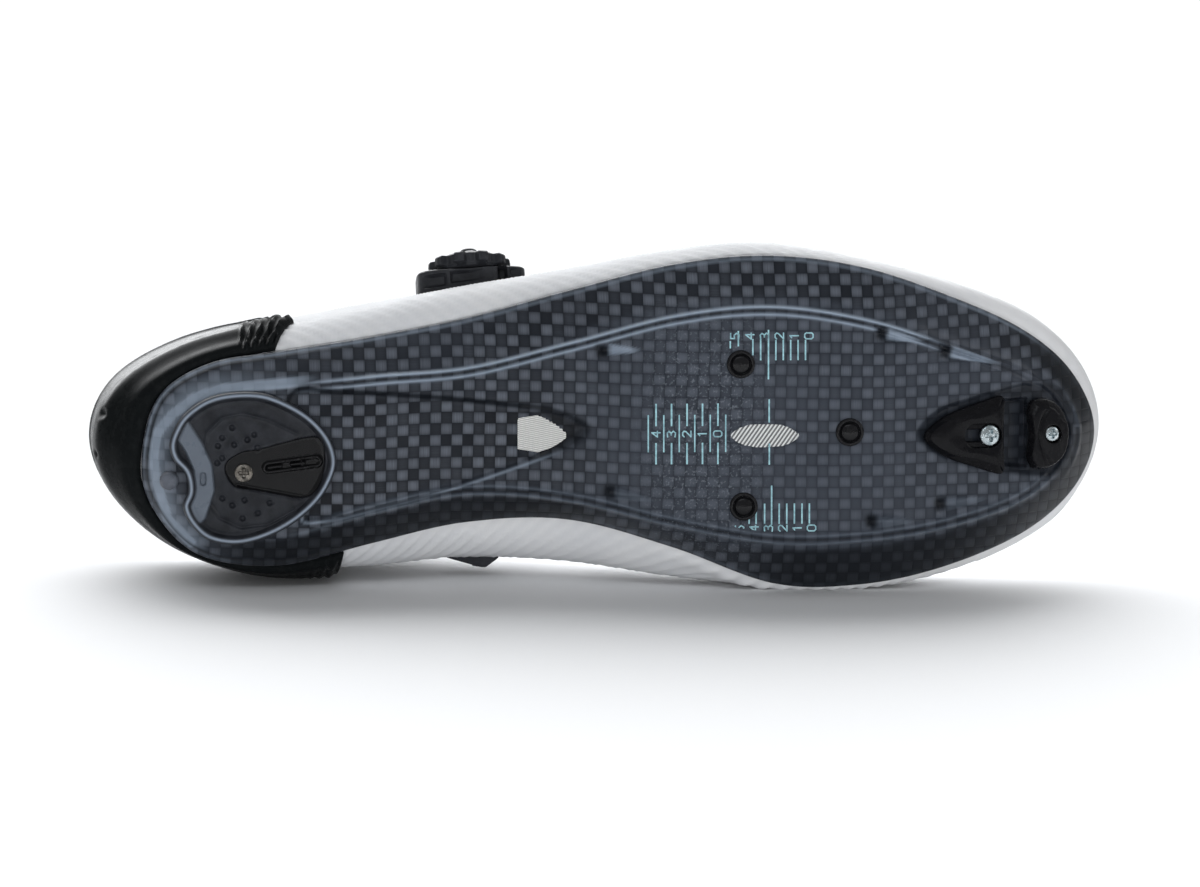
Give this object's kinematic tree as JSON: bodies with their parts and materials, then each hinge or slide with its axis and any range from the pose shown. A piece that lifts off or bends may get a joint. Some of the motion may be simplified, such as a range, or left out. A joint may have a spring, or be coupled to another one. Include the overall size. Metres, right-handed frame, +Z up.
{
  "type": "cycling shoe",
  "caption": "Right road cycling shoe with a carbon sole, moulded heel counter, side lace dial and a sliding toe vent, lying on its medial side.",
  "frame": {"origin": "middle of the footprint box, on the floor that the shoe lies on", "axes": "+X from the heel to the toe, +Y from the sole to the collar, +Z up, towards the shoe's lateral side"},
  "size_m": [0.2832, 0.1034, 0.0947],
  "materials": {
    "upper_skin": "white coated microfibre with embossed diagonal ripples",
    "tongue_cloth": "white padded mesh cloth",
    "insole_cloth": "dark knitted cloth over foam",
    "carbon": "clear-coated plain-weave carbon fibre",
    "counter_gloss": "glossy black moulded plastic",
    "heel_pad": "black moulded rubber",
    "zinc": "zinc-plated steel",
    "plug": "black rubber plug",
    "vent_mesh": "silver-grey woven mesh",
    "slider_gloss": "glossy black plastic",
    "bumper_rubber": "black rubber",
    "strap": "white coated microfibre strap",
    "dial_bracket": "black plastic",
    "dial_knob": "black plastic with a ribbed grip",
    "lace": "dark coated wire lace"
  },
  "bodies": {
    "shoe": {"upper": "upper_skin", "tongue": "tongue_cloth", "insole": "insole_cloth", "outsole": "carbon", "heel_counter": "counter_gloss", "heel_pad": "heel_pad", "heel_screw": "zinc", "heel_rivet": "heel_pad", "cleat_plug_1": "plug", "cleat_plug_2": "plug", "cleat_plug_3": "plug", "cleat_vent_mesh": "vent_mesh", "arch_vent_mesh": "vent_mesh", "toe_vent_screw": "zinc", "toe_bumper": "bumper_rubber", "toe_bumper_screw": "zinc", "instep_strap": "strap", "toe_strap": "strap", "dial_base": "dial_bracket", "dial_knob": "dial_knob", "lace_front": "lace", "lace_back": "lace", "strap_anchor": "dial_bracket"},
    "vent_slider": {"toe_vent_slider": "slider_gloss"}
  },
  "joints": [
    {"name": "vent_slide", "type": "slide", "parent": "shoe", "child": "vent_slider", "axis": [0.9564, 0.2919, -0.0144], "range_m": [0, 0.0047]}
  ]
}
